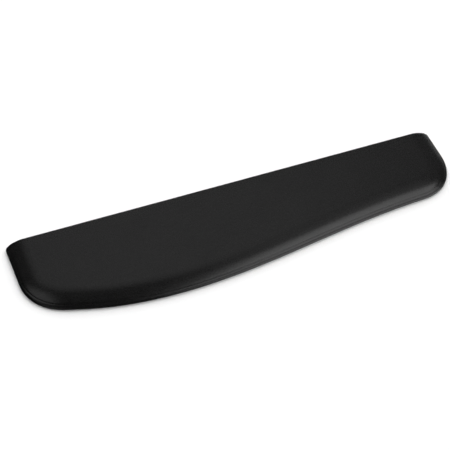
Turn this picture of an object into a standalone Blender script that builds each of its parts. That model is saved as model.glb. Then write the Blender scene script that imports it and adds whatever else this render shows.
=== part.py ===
"""A slim wrist rest for the front of a keyboard, as a set of separate laminated pieces.

The pad lies on a desk. +X runs along its length to the right, +Y runs back towards the keyboard and +Z is up. The
origin is the middle of its bounding box, on the desk. Every piece follows the same plan outline, and those behind
the wall follow the same wall section, each at its own distance below the outer surface, so that the layers nest.
"""

import math

import bmesh
import bpy
from mathutils import Vector

MM = 0.001

# Whole pad.
LENGTH = 435 * MM
DEPTH = 106.5 * MM
HEIGHT = 10 * MM
HALF_LENGTH = LENGTH / 2
BACK_Y = DEPTH / 2

# Front edge, from the left end to the right end. Each knot holds its place along X, its distance in front of the
# back edge, the heading of the edge there in degrees, and the lengths of its curve handles before and after it.
EDGE_KNOTS = (
    (-HALF_LENGTH + 1 * MM, 46.5 * MM, -89.5, 0, 18.5 * MM),
    (-184 * MM, 89 * MM, -18, 22 * MM, 24.5 * MM),
    (-75.5 * MM, DEPTH, 0, 54.5 * MM, 85.5 * MM),
    (177.5 * MM, 78 * MM, 2.5, 92 * MM, 23.5 * MM),
    (HALF_LENGTH, 32.5 * MM, 90, 27.5 * MM, 0),
)
EDGE_STEPS = (12, 8, 14, 10)
BACK_CORNER_RADIUS = 3 * MM
BACK_CORNER_STEPS = 3

# Wall section. The wall is widest near the desk and rolls over to the flat top as a quarter ellipse.
ROLL_WIDTH = 21.5 * MM
ROLL_ANGLES = (38, 47, 56, 65, 74, 82, 90)
WIDEST_Z = 1.8 * MM
BACK_TOP_RADIUS = 1 * MM
CREASE_Z = 5 * MM
CREASE_DEPTH = 0.35 * MM
CREASE_HALF_HEIGHT = 0.45 * MM

# Layers, from the desk up. Neighbours keep a glue gap.
GAP = 0.3 * MM
BASE_THICKNESS = 1 * MM
BASE_SETBACK = 0.2 * MM
SKIN_THICKNESS = 0.9 * MM
HEM_WIDTH = 10 * MM
HEM_CORNER = 0.5 * MM
WALL_SETBACK = 0.4 * MM
CORE_TOP_Z = 4.9 * MM
FILM_THICKNESS = 0.2 * MM
POUCH_SIDE_INSET = 26 * MM
POUCH_BACK_INSET = 13 * MM
POUCH_CORNER_RADIUS = 4 * MM
POUCH_FLANGE_WIDTH = 3 * MM
GEL_EDGE_RADIUS = 0.6 * MM

HEM_BOTTOM_Z = BASE_THICKNESS + GAP
HEM_TOP_Z = HEM_BOTTOM_Z + SKIN_THICKNESS
UNDER_SKIN = SKIN_THICKNESS + GAP
FOAM_BOTTOM_Z = CORE_TOP_Z + GAP
FOAM_TOP_Z = HEIGHT - UNDER_SKIN
FLANGE_BOTTOM_Z = FOAM_BOTTOM_Z + FILM_THICKNESS + GAP


def clear_scene():
    for item in list(bpy.data.objects):
        bpy.data.objects.remove(item, do_unlink=True)


def make_material(name, color, roughness, metallic=0.0):
    material = bpy.data.materials.new(name)
    material.use_nodes = True
    shader = material.node_tree.nodes["Principled BSDF"]
    shader.inputs["Base Color"].default_value = (*color, 1.0)
    shader.inputs["Roughness"].default_value = roughness
    shader.inputs["Metallic"].default_value = metallic
    return material


def heading_vector(degrees):
    return Vector((math.cos(math.radians(degrees)), math.sin(math.radians(degrees))))


def edge_point(start, end, share):
    """The point and the unit heading of the front edge, this share of the way from one knot to the next."""
    x0, depth0, heading0, _, handle0 = start
    x1, depth1, heading1, handle1, _ = end
    a = Vector((x0, BACK_Y - depth0))
    d = Vector((x1, BACK_Y - depth1))
    b = a + heading_vector(heading0) * handle0
    c = d - heading_vector(heading1) * handle1
    rest = 1 - share
    point = a * rest**3 + b * 3 * rest**2 * share + c * 3 * rest * share**2 + d * share**3
    slope = (b - a) * rest**2 + (c - b) * 2 * rest * share + (d - c) * share**2
    return point, slope.normalized()


def plan_ring(z, side_inset, back_inset, corner_radius=BACK_CORNER_RADIUS):
    """The closed plan outline at height z, anticlockwise. Its ends and front stand in by side_inset from the pad's
    outline, and its back by back_inset."""
    ring = []
    for number, steps in enumerate(EDGE_STEPS):
        is_last = number == len(EDGE_STEPS) - 1
        for step in range(steps + is_last):
            point, heading = edge_point(EDGE_KNOTS[number], EDGE_KNOTS[number + 1], step / steps)
            ring.append((point.x - heading.y * side_inset, point.y + heading.x * side_inset, z))
    centre_x = HALF_LENGTH - side_inset - corner_radius
    centre_y = BACK_Y - back_inset - corner_radius
    for side, first_angle in ((1, 0), (-1, 90)):
        for step in range(BACK_CORNER_STEPS + 1):
            turn = heading_vector(first_angle + 90 * step / BACK_CORNER_STEPS) * corner_radius
            ring.append((side * centre_x + turn.x, centre_y + turn.y, z))
    return ring


def wall_ring(z, below=0.0, setback=0.0):
    """The outline at height z of the surface that lies this far below the pad's outer surface, and that stands back
    from the wall by setback more."""
    top = HEIGHT - below
    rise = min(1, (z - WIDEST_Z) / (top - WIDEST_Z))
    roll = (ROLL_WIDTH - below) * (1 - math.sqrt(1 - rise**2))
    crease = CREASE_DEPTH * math.exp(-(((z - CREASE_Z) / CREASE_HALF_HEIGHT) ** 2))
    radius = max(BACK_TOP_RADIUS - below, 0.1 * MM)
    turn = min(1, max(0, (z - (top - radius)) / radius))
    back_roll = radius * (1 - math.sqrt(1 - turn**2))
    inset = below + setback + crease
    return plan_ring(z, inset + roll, inset + back_roll)


def crease_heights(lowest, highest):
    """Heights for the rings that shape the crease, between two limits."""
    heights = [CREASE_Z + step * CREASE_HALF_HEIGHT for step in (-2, -1, 0, 1, 2)]
    return [z for z in heights if lowest < z < highest]


def roll_heights(below=0.0):
    """Heights for the rings of the roll-over, closer together towards the flat top."""
    top = HEIGHT - below
    heights = [WIDEST_Z + (top - WIDEST_Z) * math.sin(math.radians(angle)) for angle in ROLL_ANGLES]
    return [z for z in heights if z > CREASE_Z + 2.5 * CREASE_HALF_HEIGHT]


def join_rings(mesh, lower, upper):
    count = len(lower)
    for i in range(count):
        j = (i + 1) % count
        mesh.faces.new((lower[i], lower[j], upper[j], upper[i]))


def loft(name, rings, material, collection, caps=("first", "last")):
    """A surface through the rings, in order, with a flat cap on the ends that caps names. With no caps, the last
    ring joins the first, which gives a solid that goes all round an opening."""
    mesh = bmesh.new()
    loops = [[mesh.verts.new(point) for point in ring] for ring in rings]
    for lower, upper in zip(loops, loops[1:]):
        join_rings(mesh, lower, upper)
    if "first" in caps:
        mesh.faces.new(reversed(loops[0]))
    if "last" in caps:
        mesh.faces.new(loops[-1])
    if not caps:
        join_rings(mesh, loops[-1], loops[0])
    bmesh.ops.recalc_face_normals(mesh, faces=mesh.faces)
    data = bpy.data.meshes.new(name)
    mesh.to_mesh(data)
    mesh.free()
    data.shade_smooth()
    data.set_sharp_from_angle(angle=math.radians(40))
    return add_object(name, data, material, collection)


def flat_sheet(name, outline, bottom_z, top_z, material, collection, edge_radius=0.0):
    """A flat piece cut to a plan outline, as a filled 2D curve, with its edges rounded where edge_radius says."""
    curve = bpy.data.curves.new(name, "CURVE")
    curve.dimensions = "2D"
    curve.fill_mode = "BOTH"
    curve.extrude = (top_z - bottom_z) / 2 - edge_radius
    curve.bevel_depth = edge_radius
    curve.bevel_resolution = 1
    curve.offset = -edge_radius
    spline = curve.splines.new("POLY")
    spline.points.add(len(outline) - 1)
    for point, (x, y, _) in zip(spline.points, outline):
        point.co = (x, y, 0, 1)
    spline.use_cyclic_u = True
    item = add_object(name, curve, material, collection)
    item.location.z = (bottom_z + top_z) / 2
    return item


def shell(surface, thickness):
    """Gives an open surface its thickness, all of it on the inner side."""
    solidify = surface.modifiers.new("thickness", "SOLIDIFY")
    solidify.thickness = thickness
    solidify.offset = -1
    solidify.use_even_offset = True
    return surface


def add_object(name, data, material, collection):
    data.materials.append(material)
    item = bpy.data.objects.new(name, data)
    collection.objects.link(item)
    return item


def make_base_sheet(collection):
    """The anti-slip sheet that lies on the desk."""
    rubber = make_material("anti_slip_rubber", (0.012, 0.012, 0.012), 0.85)
    outline = plan_ring(0, BASE_SETBACK, BASE_SETBACK)
    return flat_sheet("base_sheet", outline, 0, BASE_THICKNESS, rubber, collection)


def make_stiffener_board(collection):
    """The thin board inside the hem, level with it."""
    board = make_material("stiffener_board_grey", (0.16, 0.15, 0.14), 0.8)
    outline = plan_ring(0, HEM_WIDTH + GAP, HEM_WIDTH + GAP)
    return flat_sheet("stiffener_board", outline, HEM_BOTTOM_Z, HEM_TOP_Z, board, collection)


def make_core_board(collection):
    """The firm foam layer below the crease."""
    firm_foam = make_material("firm_foam_charcoal", (0.05, 0.05, 0.052), 0.9)
    bottom = HEM_TOP_Z + GAP
    heights = [bottom, (bottom + CORE_TOP_Z) / 2, *crease_heights(bottom, CORE_TOP_Z), CORE_TOP_Z]
    rings = [wall_ring(z, UNDER_SKIN, WALL_SETBACK) for z in heights]
    return loft("core_board", rings, firm_foam, collection)


def make_foam_surround(collection):
    """The soft foam ring that fills the rolled edge, open in the middle for the gel."""
    soft_foam = make_material("soft_foam_grey", (0.35, 0.35, 0.36), 0.9)
    heights = [FOAM_BOTTOM_Z, *crease_heights(FOAM_BOTTOM_Z, FOAM_TOP_Z), *roll_heights(UNDER_SKIN)]
    rings = [wall_ring(z, UNDER_SKIN, WALL_SETBACK) for z in heights]
    rings += [pouch_ring(z) for z in (FOAM_TOP_Z, FOAM_BOTTOM_Z)]
    return loft("foam_surround", rings, soft_foam, collection, caps=())


def pouch_ring(z, inset=0.0):
    """An outline this far inside the foam's opening."""
    return plan_ring(z, POUCH_SIDE_INSET + inset, POUCH_BACK_INSET + inset, POUCH_CORNER_RADIUS)


def make_gel_backing_film(collection):
    """The flat film that closes the gel pouch from below."""
    film = make_material("clear_film_flat", (0.75, 0.78, 0.8), 0.25)
    outline = pouch_ring(0, GAP)
    top = FOAM_BOTTOM_Z + FILM_THICKNESS
    return flat_sheet("gel_backing_film", outline, FOAM_BOTTOM_Z, top, film, collection)


def make_gel_pouch(collection):
    """The film formed over the gel like a shallow lid, with a welding flange round its foot."""
    film = make_material("clear_film_formed", (0.75, 0.78, 0.8), 0.25)
    flange_top = FLANGE_BOTTOM_Z + FILM_THICKNESS
    wall_inset = GAP + POUCH_FLANGE_WIDTH
    rings = [pouch_ring(flange_top, GAP), pouch_ring(flange_top, wall_inset), pouch_ring(FOAM_TOP_Z, wall_inset)]
    return shell(loft("gel_pouch", rings, film, collection, caps=("last",)), FILM_THICKNESS)


def make_gel_pad(collection):
    """The cast gel slab inside the pouch."""
    gel = make_material("soft_gel", (0.25, 0.42, 0.55), 0.2)
    outline = pouch_ring(0, GAP + POUCH_FLANGE_WIDTH + FILM_THICKNESS + GAP)
    top = FOAM_TOP_Z - FILM_THICKNESS - GAP
    return flat_sheet("gel_pad", outline, FLANGE_BOTTOM_Z, top, gel, collection, GEL_EDGE_RADIUS)


def make_cover_skin(collection):
    """The leatherette skin: top, rolled wall with its pressed crease, square back and turned-under hem."""
    leatherette = make_material("black_leatherette", (0.022, 0.022, 0.022), 0.45)
    wall_foot = HEM_BOTTOM_Z + HEM_CORNER
    rings = [plan_ring(HEM_BOTTOM_Z, inset, inset) for inset in (HEM_WIDTH, HEM_CORNER)]
    heights = [wall_foot, (wall_foot + CREASE_Z) / 2, *crease_heights(wall_foot, HEIGHT), *roll_heights()]
    rings += [wall_ring(z) for z in heights]
    return shell(loft("cover_skin", rings, leatherette, collection, caps=("last",)), SKIN_THICKNESS)


def main():
    clear_scene()
    collection = bpy.data.collections.new("wrist_rest")
    bpy.context.scene.collection.children.link(collection)
    make_base_sheet(collection)
    make_stiffener_board(collection)
    make_core_board(collection)
    make_foam_surround(collection)
    make_gel_backing_film(collection)
    make_gel_pad(collection)
    make_gel_pouch(collection)
    make_cover_skin(collection)


main()
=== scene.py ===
"""Looks for a slim keyboard wrist rest: formed leatherette skin, foam, gel, board and anti-slip sheet.

Everything is in metres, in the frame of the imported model: +X along the length to the right, +Y back towards
the keyboard, +Z up, with the desk at z = 0.
"""

import math

import bmesh
import bpy
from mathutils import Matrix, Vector


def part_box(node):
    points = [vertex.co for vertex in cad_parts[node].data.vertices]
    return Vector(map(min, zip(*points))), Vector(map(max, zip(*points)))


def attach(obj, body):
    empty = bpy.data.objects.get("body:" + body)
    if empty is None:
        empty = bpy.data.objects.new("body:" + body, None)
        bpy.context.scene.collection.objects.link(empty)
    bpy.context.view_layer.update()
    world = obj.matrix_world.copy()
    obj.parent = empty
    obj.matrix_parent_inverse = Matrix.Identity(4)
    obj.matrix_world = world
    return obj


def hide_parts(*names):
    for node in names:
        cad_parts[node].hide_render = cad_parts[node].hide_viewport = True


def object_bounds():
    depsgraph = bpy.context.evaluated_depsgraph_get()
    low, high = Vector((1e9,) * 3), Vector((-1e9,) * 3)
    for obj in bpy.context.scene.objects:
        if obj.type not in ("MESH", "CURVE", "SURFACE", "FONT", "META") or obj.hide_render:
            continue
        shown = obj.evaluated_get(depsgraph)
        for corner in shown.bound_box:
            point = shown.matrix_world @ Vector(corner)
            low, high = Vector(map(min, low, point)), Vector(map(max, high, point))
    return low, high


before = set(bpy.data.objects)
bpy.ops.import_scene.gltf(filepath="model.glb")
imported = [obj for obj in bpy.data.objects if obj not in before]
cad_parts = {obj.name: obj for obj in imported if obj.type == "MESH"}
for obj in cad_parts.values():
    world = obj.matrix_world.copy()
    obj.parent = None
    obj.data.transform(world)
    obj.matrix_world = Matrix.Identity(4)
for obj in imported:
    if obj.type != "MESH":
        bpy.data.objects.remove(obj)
cad_low, cad_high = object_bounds()

MM = 0.001

# Whole pad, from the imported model.
LENGTH = cad_high.x - cad_low.x
DEPTH = cad_high.y - cad_low.y
HEIGHT = cad_high.z
HALF_LENGTH = LENGTH / 2
BACK_Y = cad_high.y

# Front edge, from the left end to the right end. Each knot holds its place along X, its distance in front of
# the back edge, the heading of the edge there in degrees, and the lengths of its curve handles before and
# after it.
EDGE_KNOTS = (
    (-HALF_LENGTH + 1 * MM, 46.5 * MM, -89.5, 0, 18.5 * MM),
    (-184 * MM, 89 * MM, -18, 22 * MM, 24.5 * MM),
    (-75.5 * MM, DEPTH, 0, 54.5 * MM, 85.5 * MM),
    (177.5 * MM, 78 * MM, 2.5, 92 * MM, 23.5 * MM),
    (HALF_LENGTH, 32.5 * MM, 90, 27.5 * MM, 0),
)
EDGE_STEPS = (28, 26, 56, 28)
SIDE_STEPS = 10
BACK_STEPS = 60
BACK_CORNER_RADIUS = 3 * MM
BACK_CORNER_STEPS = 8

# Wall section: a quarter ellipse from the widest line up to the top, with a pressed crease.
ROLL_WIDTH = 21.5 * MM
WIDEST_Z = 1.8 * MM
BACK_TOP_RADIUS = 1 * MM
SMALLEST_TOP_RADIUS = 0.15 * MM
SMALLEST_CORNER_RADIUS = 0.5 * MM
CREASE_Z = 5 * MM
CREASE_DEPTH = 0.75 * MM
CREASE_HALF_HEIGHT = 0.4 * MM
INNER_CREASE_SPREAD = 1.5
LINING_CREASE_SPREAD = 2.5

# Top: crowned very slightly over a middle line that runs closer to the back towards the right end. Its rings
# stop at SPINE_STOP of the way in to that line, and a cap closes the narrow strip that is left. The slight
# unevenness starts UNEVEN_START below the top and is at its full depth UNEVEN_FADE higher.
CROWN = 0.12 * MM
SPINE_STOP = 0.95
SPINE_END_SHARE = 0.34
SPINE_LEFT_DEPTH = 48 * MM
SPINE_SHIFT = 14 * MM
UNEVEN_DEPTH = 0.08 * MM
UNEVEN_START = 0.8 * MM
UNEVEN_FADE = 0.6 * MM

# Skin and its turned-under hem. The rings of the hem's lower face run outwards at these insets from the
# outline, and those of its upper face run inwards.
SKIN_THICKNESS = 0.9 * MM
HEM_WIDTH = 10 * MM
HEM_CORNER = 0.5 * MM
HEM_CORNER_STEPS = 6
HEM_BOTTOM_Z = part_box("cover_skin")[0].z
HEM_BELOW_INSETS = (HEM_WIDTH, 7 * MM, 4 * MM, 2 * MM, 1 * MM)
HEM_ABOVE_INSETS = (1.6 * MM, 4 * MM, 7 * MM, HEM_WIDTH)
WALL_STEPS = 120
TOP_STEPS = 24
LINING_STEPS = 40
LINING_FIRST_STEP = 3
LINING_TOP_STEPS = 8

# Pieces inside the skin: how far their wall lies below the outer surface, how much further in it stands, and
# where the gel's pouch and the gel stand inside that.
INNER_BELOW = 1.2 * MM
INNER_SETBACK = 0.4 * MM
POUCH_SIDE_INSET = 26 * MM
POUCH_BACK_INSET = 13 * MM
POUCH_CORNER_RADIUS = 4 * MM
GEL_CLEARANCE = 3.8 * MM
GEL_BULGE = 0.1 * MM
GEL_CROWN = 0.2 * MM
COLLAR_DROP = 0.1 * MM
BASE_EDGE_RADIUS = 0.25 * MM
OPENING_EDGE_RADIUS = 0.4 * MM
GEL_EDGE_RADIUS = 0.6 * MM
ROUND_STEPS = 6
UPRIGHT_STEPS = 8
SLAB_BOTTOM_STEPS = 6
SLAB_TOP_STEPS = 12
CORE_WALL_STEPS = 16
COLLAR_WALL_STEPS = 20
WELD_DISTANCE = 0.001 * MM

# Camera: the way it looks in degrees, its lens, and where it stands from a point near the pad's middle.
CAMERA_AZIMUTH = 20.46
CAMERA_ELEVATION = 47.99
CAMERA_LENS = 115.95
CAMERA_SENSOR = 36
CAMERA_DISTANCE = 1.37277
CAMERA_SHIFT_LEFT = 0.01427
CAMERA_SHIFT_DOWN = 0.00489
TARGET_DEPTH = 45 * MM
TARGET_Z = 5 * MM

# Stage: the side of the floor, how white it is, and how high the overhead panels hang.
FLOOR_SIZE = 12
FLOOR_WHITENESS = 0.9
PANEL_HEIGHT = 6

# How many times a cell pattern wanders from side to side across one cell.
WANDERS_PER_CELL = 0.6


# Outline and wall section ----------------------------------------------------------------------------------

def heading_vector(degrees):
    return Vector((math.cos(math.radians(degrees)), math.sin(math.radians(degrees))))


def edge_point(start, end, share):
    """The point and the unit heading of the front edge, this share of the way from one knot to the next."""
    x0, depth0, heading0, _, handle0 = start
    x1, depth1, heading1, handle1, _ = end
    a = Vector((x0, BACK_Y - depth0))
    d = Vector((x1, BACK_Y - depth1))
    b = a + heading_vector(heading0) * handle0
    c = d - heading_vector(heading1) * handle1
    rest = 1 - share
    point = a * rest**3 + b * 3 * rest**2 * share + c * 3 * rest * share**2 + d * share**3
    slope = (b - a) * rest**2 + (c - b) * 2 * rest * share + (d - c) * share**2
    return point, slope.normalized()


def straight(start, end, steps):
    """Points strictly between two corners, evenly spaced."""
    return [start.lerp(end, step / steps) for step in range(1, steps)]


def plan_ring(z, side_inset, back_inset, corner_radius=BACK_CORNER_RADIUS):
    """The closed plan outline at height z, anticlockwise. Its ends and front stand in by side_inset from the
    pad's outline, and its back by back_inset."""
    front = []
    for number, steps in enumerate(EDGE_STEPS):
        is_last = number == len(EDGE_STEPS) - 1
        for step in range(steps + is_last):
            point, heading = edge_point(EDGE_KNOTS[number], EDGE_KNOTS[number + 1], step / steps)
            front.append(Vector((point.x - heading.y * side_inset, point.y + heading.x * side_inset)))
    centre_x = HALF_LENGTH - side_inset - corner_radius
    centre_y = BACK_Y - back_inset - corner_radius
    corners = []
    for side, first_angle in ((1, 0), (-1, 90)):
        centre = Vector((side * centre_x, centre_y))
        turns = [first_angle + 90 * step / BACK_CORNER_STEPS for step in range(BACK_CORNER_STEPS + 1)]
        corners.append([centre + heading_vector(turn) * corner_radius for turn in turns])
    right, left = corners
    ring = front + straight(front[-1], right[0], SIDE_STEPS) + right
    ring += straight(right[-1], left[0], BACK_STEPS) + left + straight(left[-1], front[0], SIDE_STEPS)
    return [(point.x, point.y, z) for point in ring]


def crease_at(z, half_height):
    """How far in the pressed crease stands at height z."""
    return CREASE_DEPTH * math.exp(-(((z - CREASE_Z) / half_height) ** 2))


def wall_ring(angle, below=0.0, setback=0.0, crease_half_height=CREASE_HALF_HEIGHT):
    """The outline where the wall's quarter ellipse has turned through angle, in degrees, this far below the
    outer surface."""
    top = HEIGHT - CROWN - below
    turn = math.radians(angle)
    z = WIDEST_Z + (top - WIDEST_Z) * math.sin(turn)
    roll = (ROLL_WIDTH - below) * (1 - math.cos(turn))
    radius = max(BACK_TOP_RADIUS - below, SMALLEST_TOP_RADIUS)
    over = min(1, max(0, (z - (top - radius)) / radius))
    back_roll = radius * (1 - math.sqrt(1 - over**2))
    inset = below + setback + crease_at(z, crease_half_height)
    corner_radius = max(BACK_CORNER_RADIUS - inset, SMALLEST_CORNER_RADIUS)
    return plan_ring(z, inset + roll, inset + back_roll, corner_radius)


def inner_wall_angle(z):
    """The angle, in degrees, at which the wall of a piece inside the skin reaches height z."""
    rise = (z - WIDEST_Z) / (HEIGHT - CROWN - INNER_BELOW - WIDEST_Z)
    return math.degrees(math.asin(min(1, max(0, rise))))


def inner_wall(low, high, steps):
    """Wall rings of a piece inside the skin, from height low to height high."""
    first, last = inner_wall_angle(low), inner_wall_angle(high)
    angles = [first + (last - first) * step / steps for step in range(steps + 1)]
    half_height = INNER_CREASE_SPREAD * CREASE_HALF_HEIGHT
    return [wall_ring(angle, INNER_BELOW, INNER_SETBACK, half_height) for angle in angles]


def spine_rings(ring, steps, rise):
    """Rings from the last wall ring in to a narrow strip along the middle, which is rise higher."""
    end = HALF_LENGTH - ROLL_WIDTH - SPINE_END_SHARE * DEPTH
    rings = []
    for step in range(1, steps + 1):
        share = SPINE_STOP * step / steps
        inner = []
        for x, y, z in ring:
            spine_x = max(-end, min(end, x))
            spine_y = BACK_Y - spine_depth(spine_x)
            height = z + rise * (1 - (1 - share) ** 2)
            inner.append((x + (spine_x - x) * share, y + (spine_y - y) * share, height))
        rings.append(inner)
    return rings


def spine_depth(x):
    """How far in front of the back edge the middle line runs."""
    share = (x + HALF_LENGTH) / LENGTH
    return SPINE_LEFT_DEPTH - SPINE_SHIFT * share**1.5


def rounded_wall(low, high, side_inset, back_inset, radius, corner_radius, bulge=0.0, side=1):
    """Wall rings from low to high with rounded edges. The wall stands out by bulge at half height. It is the
    outside of a piece with side 1, and the wall of an opening with side -1."""
    levels = []
    for step in range(ROUND_STEPS + 1):
        turn = math.radians(90 * step / ROUND_STEPS)
        levels.append((low + radius * (1 - math.cos(turn)), radius * (1 - math.sin(turn))))
    for step in range(1, UPRIGHT_STEPS):
        share = step / UPRIGHT_STEPS
        levels.append((low + radius + (high - low - 2 * radius) * share, -bulge * math.sin(math.pi * share)))
    for step in range(ROUND_STEPS + 1):
        turn = math.radians(90 * step / ROUND_STEPS)
        levels.append((high - radius * (1 - math.sin(turn)), radius * (1 - math.cos(turn))))
    rings = []
    for z, draw_in in levels:
        rings.append(plan_ring(z, side_inset + side * draw_in, back_inset + side * draw_in, corner_radius))
    return rings


# Meshes ----------------------------------------------------------------------------------------------------

def join_rings(mesh, lower, upper):
    count = len(lower)
    for i in range(count):
        j = (i + 1) % count
        mesh.faces.new((lower[i], lower[j], upper[j], upper[i]))


def loft(name, rings, closed=False):
    """A mesh through the rings, in order. A closed one joins the last ring to the first, and any other is
    capped at both ends."""
    mesh = bmesh.new()
    loops = [[mesh.verts.new(point) for point in ring] for ring in rings]
    for lower, upper in zip(loops, loops[1:]):
        join_rings(mesh, lower, upper)
    if closed:
        join_rings(mesh, loops[-1], loops[0])
    else:
        caps = [mesh.faces.new(loops[0]), mesh.faces.new(loops[-1])]
        bmesh.ops.triangulate(mesh, faces=caps)
    bmesh.ops.remove_doubles(mesh, verts=mesh.verts, dist=WELD_DISTANCE)
    bmesh.ops.recalc_face_normals(mesh, faces=mesh.faces)
    data = bpy.data.meshes.new(name)
    mesh.to_mesh(data)
    mesh.free()
    data.shade_smooth()
    item = bpy.data.objects.new(name, data)
    bpy.context.scene.collection.objects.link(item)
    return item


def slab(name, wall, top_rise=0.0):
    """A closed piece from its wall rings, with its underside and top drawn in to their middle strips."""
    bottom = list(reversed(spine_rings(wall[0], SLAB_BOTTOM_STEPS, 0)))
    return loft(name, bottom + wall + spine_rings(wall[-1], SLAB_TOP_STEPS, top_rise))


def unevenness(x, y):
    """The slight unevenness of a foam top under its skin, from -1 to 1."""
    broad = math.sin(x * 61 + y * 17 + 0.6) * math.sin(y * 74 - x * 9 + 1.1)
    close = math.sin(x * 133 - y * 41) * math.sin(y * 151 + x * 23 + 0.4)
    return 0.65 * broad + 0.35 * close


def hem_corner_rings():
    """The rounded fold where the wall turns under into the hem."""
    rings = []
    for step in range(HEM_CORNER_STEPS):
        turn = math.radians(90 * step / HEM_CORNER_STEPS)
        inset = HEM_CORNER * (1 - math.sin(turn))
        rings.append(plan_ring(HEM_BOTTOM_Z + HEM_CORNER * (1 - math.cos(turn)), inset, inset))
    return rings


def make_cover():
    """The leatherette skin: crowned top, rolled wall with its crease, square back, turned-under hem."""
    wall = [wall_ring(90 * step / WALL_STEPS) for step in range(WALL_STEPS + 1)]
    lining = []
    for step in range(LINING_FIRST_STEP, LINING_STEPS + 1):
        half_height = LINING_CREASE_SPREAD * CREASE_HALF_HEIGHT
        lining.append(wall_ring(90 * step / LINING_STEPS, SKIN_THICKNESS, 0, half_height))
    hem_below = [plan_ring(HEM_BOTTOM_Z, inset, inset) for inset in HEM_BELOW_INSETS]
    hem_above = [plan_ring(HEM_BOTTOM_Z + SKIN_THICKNESS, inset, inset) for inset in HEM_ABOVE_INSETS]
    ceiling = list(reversed(spine_rings(lining[-1], LINING_TOP_STEPS, CROWN)))
    inside = ceiling + list(reversed(lining)) + hem_above
    outside = hem_below + hem_corner_rings() + wall + spine_rings(wall[-1], TOP_STEPS, CROWN)
    cover = loft("leatherette_cover", inside + outside)
    for vertex in cover.data.vertices:
        share = min(1, max(0, (vertex.co.z - (HEIGHT - UNEVEN_START)) / UNEVEN_FADE))
        vertex.co.z -= UNEVEN_DEPTH * share * (1 - unevenness(vertex.co.x, vertex.co.y)) / 2
    return cover


def declare_cover():
    """Works out the one cut of leatherette that the skin is made from: the pad's outline, grown by what the
    wall and the turned-under hem take, and its area. Nothing uses them."""
    roll_height = HEIGHT - WIDEST_Z
    roll_length = math.pi / 2 * math.sqrt((ROLL_WIDTH**2 + roll_height**2) / 2)
    side_allowance = roll_length - ROLL_WIDTH + HEM_CORNER + HEM_WIDTH
    back_allowance = roll_height + HEM_CORNER + HEM_WIDTH
    cut = plan_ring(0, -side_allowance, -back_allowance)
    pairs = zip(cut, cut[1:] + cut[:1])
    area = sum(start[0] * end[1] - end[0] * start[1] for start, end in pairs) / 2


def make_base():
    """The anti-slip sheet, with its edge slightly rounded."""
    low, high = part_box("base_sheet")
    inset = HALF_LENGTH - high.x
    wall = rounded_wall(low.z, high.z, inset, inset, BASE_EDGE_RADIUS, BACK_CORNER_RADIUS)
    return slab("anti_slip_base", wall)


def make_core():
    """The firm foam board that carries the soft collar and the gel."""
    low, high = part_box("core_board")
    return slab("firm_foam_board", inner_wall(low.z, high.z, CORE_WALL_STEPS))


def make_collar():
    """The soft foam round the gel, which fills the rolled edge."""
    low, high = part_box("foam_surround")
    top = high.z - COLLAR_DROP
    outer = inner_wall(low.z, top, COLLAR_WALL_STEPS)
    opening = rounded_wall(
        low.z, top, POUCH_SIDE_INSET, POUCH_BACK_INSET, OPENING_EDGE_RADIUS, POUCH_CORNER_RADIUS, side=-1
    )
    return loft("soft_foam_collar", outer + list(reversed(opening)), closed=True)


def make_gel():
    """The gel, with its sides bulging a little and its top slightly crowned."""
    low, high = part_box("gel_pad")
    side = POUCH_SIDE_INSET + GEL_CLEARANCE
    back = POUCH_BACK_INSET + GEL_CLEARANCE
    wall = rounded_wall(
        low.z, high.z - GEL_CROWN, side, back, GEL_EDGE_RADIUS, POUCH_CORNER_RADIUS, bulge=GEL_BULGE
    )
    return slab("gel_filling", wall, top_rise=GEL_CROWN)


# Materials -------------------------------------------------------------------------------------------------

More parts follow.
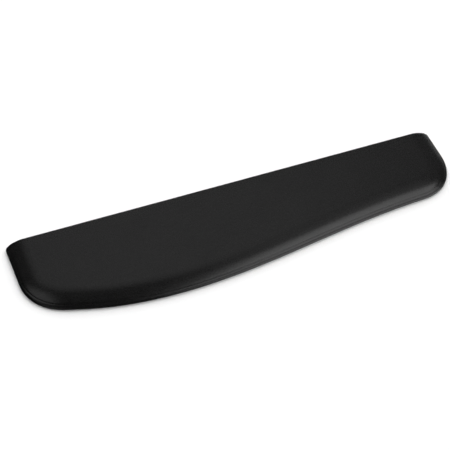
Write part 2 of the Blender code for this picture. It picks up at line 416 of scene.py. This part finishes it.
class Surface:
    """Builds one procedural material. Sizes are real, in metres, because every piece is modelled in place."""

    def __init__(self, name, **numbers):
        self.material = bpy.data.materials.new(name)
        self.material.use_nodes = True
        self.nodes = self.material.node_tree.nodes
        self.links = self.material.node_tree.links
        self.shader = self.nodes["Principled BSDF"]
        self.place = self.nodes.new("ShaderNodeTexCoord").outputs["Object"]
        for socket, value in numbers.items():
            self.shader.inputs[socket.replace("_", " ")].default_value = value

    def noise(self, size, detail=2.0, rough=0.5, stretch=None):
        """Soft patches of about this size. stretch scales the pattern along each axis."""
        node = self.nodes.new("ShaderNodeTexNoise")
        node.inputs["Scale"].default_value = 1 / size
        node.inputs["Detail"].default_value = detail
        node.inputs["Roughness"].default_value = rough
        self.links.new(self.stretched(stretch), node.inputs["Vector"])
        return node.outputs["Fac"]

    def cells(self, size, feature, wander):
        """Rounded cells of about this size. wander bends them by that share of their size."""
        noise = self.nodes.new("ShaderNodeTexNoise")
        noise.inputs["Scale"].default_value = WANDERS_PER_CELL / size
        self.links.new(self.place, noise.inputs["Vector"])
        bend = self.nodes.new("ShaderNodeVectorMath")
        bend.operation = "MULTIPLY_ADD"
        bend.inputs[1].default_value = (wander * size,) * 3
        self.links.new(noise.outputs["Color"], bend.inputs[0])
        self.links.new(self.place, bend.inputs[2])
        node = self.nodes.new("ShaderNodeTexVoronoi")
        node.feature = feature
        node.inputs["Scale"].default_value = 1 / size
        self.links.new(bend.outputs["Vector"], node.inputs["Vector"])
        return node.outputs["Distance"]

    def stretched(self, stretch):
        if stretch is None:
            return self.place
        node = self.nodes.new("ShaderNodeMapping")
        node.inputs["Scale"].default_value = stretch
        self.links.new(self.place, node.inputs["Vector"])
        return node.outputs["Vector"]

    def height(self):
        """The height above the desk."""
        node = self.nodes.new("ShaderNodeSeparateXYZ")
        self.links.new(self.place, node.inputs["Vector"])
        return node.outputs["Z"]

    def between(self, value, low, high, first, last):
        """value mapped from low..high to first..last."""
        node = self.nodes.new("ShaderNodeMapRange")
        numbers = {"From Min": low, "From Max": high, "To Min": first, "To Max": last}
        for socket, number in numbers.items():
            node.inputs[socket].default_value = number
        self.links.new(value, node.inputs["Value"])
        return node.outputs["Result"]

    def math(self, operation, first, second):
        """One sum or product. first and second are each a number or the output of another node."""
        node = self.nodes.new("ShaderNodeMath")
        node.operation = operation
        for socket, value in zip(node.inputs, (first, second)):
            if isinstance(value, (int, float)):
                socket.default_value = value
            else:
                self.links.new(value, socket)
        return node.outputs["Value"]

    def colour(self, value, first, last):
        """The base colour, from first where value is 0 to last where it is 1."""
        node = self.nodes.new("ShaderNodeValToRGB")
        node.color_ramp.elements[0].color = (*first, 1)
        node.color_ramp.elements[1].color = (*last, 1)
        self.links.new(value, node.inputs["Fac"])
        self.links.new(node.outputs["Color"], self.shader.inputs["Base Color"])

    def roughness(self, value):
        self.links.new(value, self.shader.inputs["Roughness"])

    def bump(self, value, height, below=None):
        """Relief this many metres high, on top of the relief below."""
        node = self.nodes.new("ShaderNodeBump")
        node.inputs["Distance"].default_value = height
        node.inputs["Strength"].default_value = 1
        self.links.new(value, node.inputs["Height"])
        if below is not None:
            self.links.new(below, node.inputs["Normal"])
        self.links.new(node.outputs["Normal"], self.shader.inputs["Normal"])
        return node.outputs["Normal"]


def leatherette_material():
    """Black embossed leatherette: fine pebbles with rougher valleys and painted shade darkening the valleys,
    rubbed slightly smoother on the high parts."""
    surface = Surface("black_leatherette")
    patches = surface.noise(34 * MM, detail=3, rough=0.55)
    pebbles = surface.cells(0.55 * MM, "SMOOTH_F1", wander=0.7)
    # Painted shade: the colour darkens in the pebbles' valleys, where the bump sinks, on top of random tone
    # patches.
    tone = surface.math("MULTIPLY", patches, surface.between(pebbles, 0.1, 0.7, 1, 0.72))
    surface.colour(tone, (0.0028, 0.0028, 0.0029), (0.0056, 0.0055, 0.0054))
    rubbed = surface.between(surface.height(), 6 * MM, 9.4 * MM, 0, -0.012)
    marks = surface.between(surface.noise(9 * MM, 4, 0.6, stretch=(1, 1.8, 1)), 0.3, 0.7, -0.01, 0.01)
    valleys = surface.between(pebbles, 0.2, 0.8, 0, 0.06)
    rough = surface.math("ADD", surface.math("ADD", marks, rubbed), valleys)
    surface.roughness(surface.math("ADD", rough, 0.262))
    grain = surface.bump(surface.between(pebbles, 0, 0.8, 1, 0), 0.0045 * MM)
    surface.bump(surface.noise(0.12 * MM), 0.0015 * MM, below=grain)
    return surface.material


def rubber_material():
    """Matt black rubber sheet with a fine pebbled face and a little dust in it."""
    surface = Surface("black_rubber", Specular_IOR_Level=0.4)
    dust = surface.noise(22 * MM, detail=5, rough=0.65)
    pebbles = surface.cells(0.9 * MM, "SMOOTH_F1", wander=0.4)
    dusty = surface.between(dust, 0.35, 0.75, 0, 1)
    surface.colour(dusty, (0.009, 0.009, 0.009), (0.018, 0.0178, 0.0172))
    surface.roughness(surface.between(pebbles, 0, 0.8, 0.62, 0.86))
    grain = surface.bump(surface.between(pebbles, 0, 0.7, 1, 0), 0.12 * MM)
    surface.bump(surface.noise(0.2 * MM, detail=3), 0.01 * MM, below=grain)
    return surface.material


def board_material():
    """Grey pressed board: matted fibres and flecks."""
    surface = Surface("grey_board", Specular_IOR_Level=0.25)
    fibres = surface.noise(0.5 * MM, detail=4, rough=0.7, stretch=(0.25, 1, 1))
    flecks = surface.noise(2.2 * MM, detail=3, rough=0.6)
    tone = surface.math("ADD", surface.math("MULTIPLY", fibres, 0.6), surface.math("MULTIPLY", flecks, 0.4))
    surface.colour(surface.between(tone, 0.35, 0.65, 0, 1), (0.115, 0.105, 0.095), (0.2, 0.19, 0.175))
    surface.roughness(surface.between(flecks, 0.3, 0.7, 0.76, 0.9))
    surface.bump(fibres, 0.05 * MM)
    return surface.material


def foam_material(name, dark, light, cell):
    """Cut foam: open cells, with painted shade darkening the pores."""
    surface = Surface(name, Specular_IOR_Level=0.2)
    pores = surface.cells(cell, "F1", wander=0.5)
    patches = surface.noise(25 * MM)
    # Painted shade: the colour darkens in the pores, where the bump sinks.
    painted_pore_shade = surface.between(pores, 0, 0.75, 1, 0.15)
    tone = surface.math("MULTIPLY", painted_pore_shade, surface.between(patches, 0, 1, 0.8, 1.2))
    surface.colour(tone, dark, light)
    surface.roughness(surface.between(pores, 0, 0.8, 0.95, 0.82))
    surface.bump(surface.between(pores, 0, 0.8, 1, 0), 0.35 * cell)
    return surface.material


def gel_material():
    """Soft blue gel: clear enough to see into, cloudy in places, with a wet surface."""
    surface = Surface("blue_gel", Transmission_Weight=0.55, IOR=1.42, Subsurface_Weight=0.15)
    clouds = surface.noise(12 * MM, detail=3, rough=0.6)
    surface.colour(surface.between(clouds, 0.3, 0.7, 0, 1), (0.2, 0.37, 0.5), (0.3, 0.48, 0.6))
    surface.roughness(surface.between(surface.noise(4 * MM, detail=3), 0.3, 0.7, 0.12, 0.26))
    surface.bump(surface.noise(3 * MM), 0.05 * MM)
    return surface.material


def film_material(name, rough):
    """Clear plastic film with fine wrinkles and scuffs."""
    surface = Surface(name, Transmission_Weight=0.7, IOR=1.5)
    scuffs = surface.noise(1.6 * MM, detail=5, rough=0.7, stretch=(1, 0.35, 1))
    surface.colour(surface.between(scuffs, 0.4, 0.7, 0, 1), (0.72, 0.76, 0.79), (0.82, 0.84, 0.86))
    surface.roughness(surface.between(scuffs, 0.3, 0.7, rough - 0.06, rough + 0.1))
    wrinkles = surface.noise(6 * MM, detail=3, stretch=(1, 0.5, 1))
    surface.bump(wrinkles, 0.03 * MM)
    return surface.material


def dress(piece, material, node):
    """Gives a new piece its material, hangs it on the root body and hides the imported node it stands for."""
    piece.data.materials.append(material)
    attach(piece, "root")
    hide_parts(node)


def repaint(node, material):
    """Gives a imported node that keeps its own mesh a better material."""
    item = bpy.data.objects[node]
    item.data.materials.clear()
    item.data.materials.append(material)


# Camera, stage and lights ----------------------------------------------------------------------------------

def aim(item, direction):
    item.rotation_mode = "QUATERNION"
    item.rotation_quaternion = direction.to_track_quat("-Z", "Y")


def make_camera():
    azimuth = math.radians(CAMERA_AZIMUTH)
    elevation = math.radians(CAMERA_ELEVATION)
    level = math.cos(elevation)
    back = Vector((-math.sin(azimuth) * level, -math.cos(azimuth) * level, math.sin(elevation)))
    right = Vector((math.cos(azimuth), -math.sin(azimuth), 0))
    up = back.cross(right)
    data = bpy.data.cameras.new("camera")
    data.lens = CAMERA_LENS
    data.sensor_width = CAMERA_SENSOR
    camera = bpy.data.objects.new("camera", data)
    target = Vector((0, BACK_Y - TARGET_DEPTH, TARGET_Z))
    camera.location = target + back * CAMERA_DISTANCE - right * CAMERA_SHIFT_LEFT - up * CAMERA_SHIFT_DOWN
    aim(camera, -back)
    bpy.context.scene.collection.objects.link(camera)
    bpy.context.scene.camera = camera


def sky_direction(azimuth, elevation):
    """The unit vector that points out to this part of the studio: azimuth 0 is +X and 90 is +Y."""
    level = math.cos(math.radians(elevation))
    around = heading_vector(azimuth)
    return Vector((around.x * level, around.y * level, math.sin(math.radians(elevation))))


def softbox(name, left, right, front, back, radiance, turn=0, side=1):
    """A soft panel for the sheen alone, overhead with side 1 and as far below the floor with side -1, where
    it stands for light off the floor. Its edges are given as multiples of its height."""
    data = bpy.data.lights.new(name, "AREA")
    data.shape = "RECTANGLE"
    data.size = (right - left) * PANEL_HEIGHT
    data.size_y = (back - front) * PANEL_HEIGHT
    data.energy = radiance * math.pi * data.size * data.size_y
    light = bpy.data.objects.new(name, data)
    light.location = Vector(((left + right) / 2, (front + back) / 2, side)) * PANEL_HEIGHT
    light.rotation_euler = (0 if side > 0 else math.pi, 0, math.radians(turn))
    light.visible_diffuse = False
    light.visible_camera = False
    bpy.context.scene.collection.objects.link(light)


def sky_light(name, azimuth, elevation, angle, strength):
    """A wide even light that brightens the floor and the pad but isn't seen in the sheen."""
    data = bpy.data.lights.new(name, "SUN")
    data.angle = math.radians(angle)
    data.energy = strength
    light = bpy.data.objects.new(name, data)
    aim(light, -sky_direction(azimuth, elevation))
    light.visible_glossy = False
    bpy.context.scene.collection.objects.link(light)


def make_floor():
    bpy.ops.mesh.primitive_plane_add(size=FLOOR_SIZE, location=(0, 0, 0))
    floor = bpy.context.object
    floor.name = "floor"
    surface = Surface("pale_floor", Roughness=0.9, Specular_IOR_Level=0)
    surface.shader.inputs["Base Color"].default_value = (FLOOR_WHITENESS,) * 3 + (1,)
    floor.data.materials.append(surface.material)
    floor.visible_glossy = False
    floor.visible_shadow = False


def make_world():
    """A white studio behind the floor, which is seen but gives no light."""
    world = bpy.data.worlds.new("studio")
    world.use_nodes = True
    world.node_tree.nodes["Background"].inputs["Color"].default_value = (1, 1, 1, 1)
    world.node_tree.nodes["Background"].inputs["Strength"].default_value = 1
    world.cycles_visibility.diffuse = False
    world.cycles_visibility.glossy = False
    world.cycles_visibility.transmission = False
    bpy.context.scene.world = world
    bpy.context.scene.view_settings.view_transform = "Standard"


def make_lights():
    """Even light from three sides, and panels laid out so that the sheen falls where it should: bright along
    the front right, soft on the left front corner and dim along the back."""
    sky_light("sky_back", azimuth=88, elevation=29, angle=84, strength=3.9)
    sky_light("sky_right", azimuth=8, elevation=29, angle=84, strength=3.0)
    sky_light("sky_front", azimuth=-125, elevation=45, angle=100, strength=0.55)
    # Each panel's left, right, front and back edge, its radiance, and its turn in degrees.
    softbox("key_high", 0.33, 0.95, -0.7, 0.09, 2.35)
    softbox("key_low", 0.33, 3.2, -3.8, -0.7, 2.4)
    softbox("corner_left", -1.15, -0.29, -0.25, 0.58, 0.74, -20)
    softbox("back", -0.1, 0.47, 0.5, 1.15, 0.49, -28)
    softbox("back_link", 0.28, 0.57, 0.11, 0.55, 0.5)
    softbox("back_right", 0.55, 1.5, 0.5, 1.4, 0.13)
    softbox("rim", 5, 25, 3, 18, 0.6)
    softbox("horizon_back", -1, 5, 2.5, 14, 0.6)
    softbox("horizon_front", -3, 0.3, -14, -3.2, 0.15)
    softbox("horizon_left", -14, -3, -7, 0, 0.6)
    softbox("bounce_right", 0.45, 3.0, -4.0, -0.3, 2.2, side=-1)
    softbox("bounce_left", -2.2, -0.7, -2.2, -0.5, 0.55, side=-1)
    softbox("bounce_rim", 1.0, 25, 0.7, 18, 0.5, side=-1)
    softbox("bounce_back", -1.5, 1, 2.5, 18, 0.5, side=-1)


make_camera()
cover = make_cover()
base = make_base()
core = make_core()
collar = make_collar()
gel = make_gel()
dress(cover, leatherette_material(), "cover_skin")
dress(base, rubber_material(), "base_sheet")
firm_foam = foam_material("firm_foam", (0.02, 0.02, 0.021), (0.06, 0.06, 0.062), 0.35 * MM)
dress(core, firm_foam, "core_board")
soft_foam = foam_material("soft_foam", (0.14, 0.14, 0.145), (0.42, 0.42, 0.43), 0.6 * MM)
dress(collar, soft_foam, "foam_surround")
dress(gel, gel_material(), "gel_pad")
repaint("stiffener_board", board_material())
repaint("gel_pouch", film_material("formed_film", 0.22))
repaint("gel_backing_film", film_material("flat_film", 0.3))
declare_cover()
make_floor()
make_world()
make_lights()
